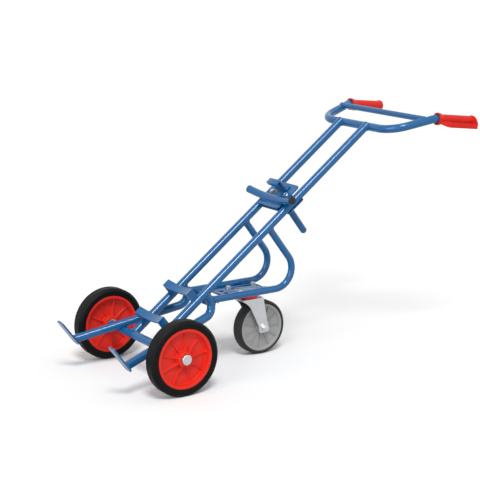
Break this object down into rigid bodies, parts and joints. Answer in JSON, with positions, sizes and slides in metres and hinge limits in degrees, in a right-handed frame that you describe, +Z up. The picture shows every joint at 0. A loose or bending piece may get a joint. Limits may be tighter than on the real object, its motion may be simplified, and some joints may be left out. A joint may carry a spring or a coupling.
{
  "type": "drum trolley",
  "caption": "Tubular steel hand trolley for drums, with toe plates, saddles, a sliding rim hook on the frame, a bent handle with guarded grips, ribbed wheels and a swivel caster.",
  "frame": {"origin": "on the floor below the middle of the overall length, on the centre plane", "axes": "+X from the toe plates to the grips, +Y to the side away from the picture's camera (called right, -Y is called left), +Z up; the main tubes rise at the picture's slope"},
  "size_m": [1.4862, 0.6086, 0.8651],
  "materials": {
    "blue_paint": "gloss powder coat",
    "red_plastic": "satin moulded",
    "black_rubber": "matte",
    "grey_rubber": "matte",
    "grey_plastic": "satin moulded",
    "zinc": "bright zinc plate",
    "black_plastic": "matte"
  },
  "bodies": {
    "frame": {"axle_shaft": "zinc", "axle_tube": "blue_paint", "caster_bolts": "zinc", "caster_mount_plate": "blue_paint", "caster_nuts": "zinc", "caster_top_plate": "zinc", "cross_strut": "blue_paint", "handle_crossbar": "blue_paint", "handle_tube": "blue_paint", "king_pin": "zinc", "left_axle_cap": "zinc", "left_axle_washer": "zinc", "left_caster_loop": "blue_paint", "left_foot_tube": "blue_paint", "left_grip": "red_plastic", "left_main_tube": "blue_paint", "left_toe_plate": "blue_paint", "lower_saddle": "blue_paint", "right_axle_cap": "zinc", "right_axle_washer": "zinc", "right_caster_loop": "blue_paint", "right_foot_tube": "blue_paint", "right_grip": "red_plastic", "right_main_tube": "blue_paint", "right_toe_plate": "blue_paint", "upper_saddle": "blue_paint"},
    "left_wheel": {"left_wheel_rim": "red_plastic", "left_wheel_tyre": "black_rubber", "left_wheel_bush": "black_plastic"},
    "right_wheel": {"right_wheel_rim": "red_plastic", "right_wheel_tyre": "black_rubber", "right_wheel_bush": "black_plastic"},
    "caster_swivel": {"caster_fork": "zinc", "swivel_seal": "red_plastic", "swivel_race": "zinc", "caster_axle_bolt": "zinc", "caster_axle_nut": "zinc", "caster_sleeve": "zinc"},
    "caster_wheel": {"caster_rim": "grey_plastic", "caster_tyre": "grey_rubber", "caster_bush": "black_plastic"},
    "hook_carriage": {"carriage_base_plate": "blue_paint", "cradle_tube": "blue_paint", "left_cradle_plug": "black_plastic", "right_cradle_plug": "black_plastic", "lower_slide_plate": "blue_paint", "upper_slide_plate": "blue_paint", "rim_hook": "blue_paint", "carriage_lever": "blue_paint", "carriage_bolts": "zinc", "carriage_nuts": "zinc", "carriage_spacers": "zinc"}
  },
  "joints": [
    {"name": "left_wheel_spin", "type": "hinge", "parent": "frame", "child": "left_wheel", "pos_m": [-0.51065, -0.253, 0.13], "axis": [0, 1, 0], "continuous": true},
    {"name": "right_wheel_spin", "type": "hinge", "parent": "frame", "child": "right_wheel", "pos_m": [-0.51065, 0.253, 0.13], "axis": [0, 1, 0], "continuous": true},
    {"name": "caster_turn", "type": "hinge", "parent": "frame", "child": "caster_swivel", "pos_m": [-0.07965, 0, 0.2], "axis": [0, 0, 1], "continuous": true},
    {"name": "caster_wheel_spin", "type": "hinge", "parent": "caster_swivel", "child": "caster_wheel", "pos_m": [-0.02765, 0, 0.1], "axis": [0, 1, 0], "continuous": true},
    {"name": "carriage_slide", "type": "slide", "parent": "frame", "child": "hook_carriage", "axis": [0.7997, 0, 0.6004], "range_m": [-0.072, 0.355]}
  ]
}
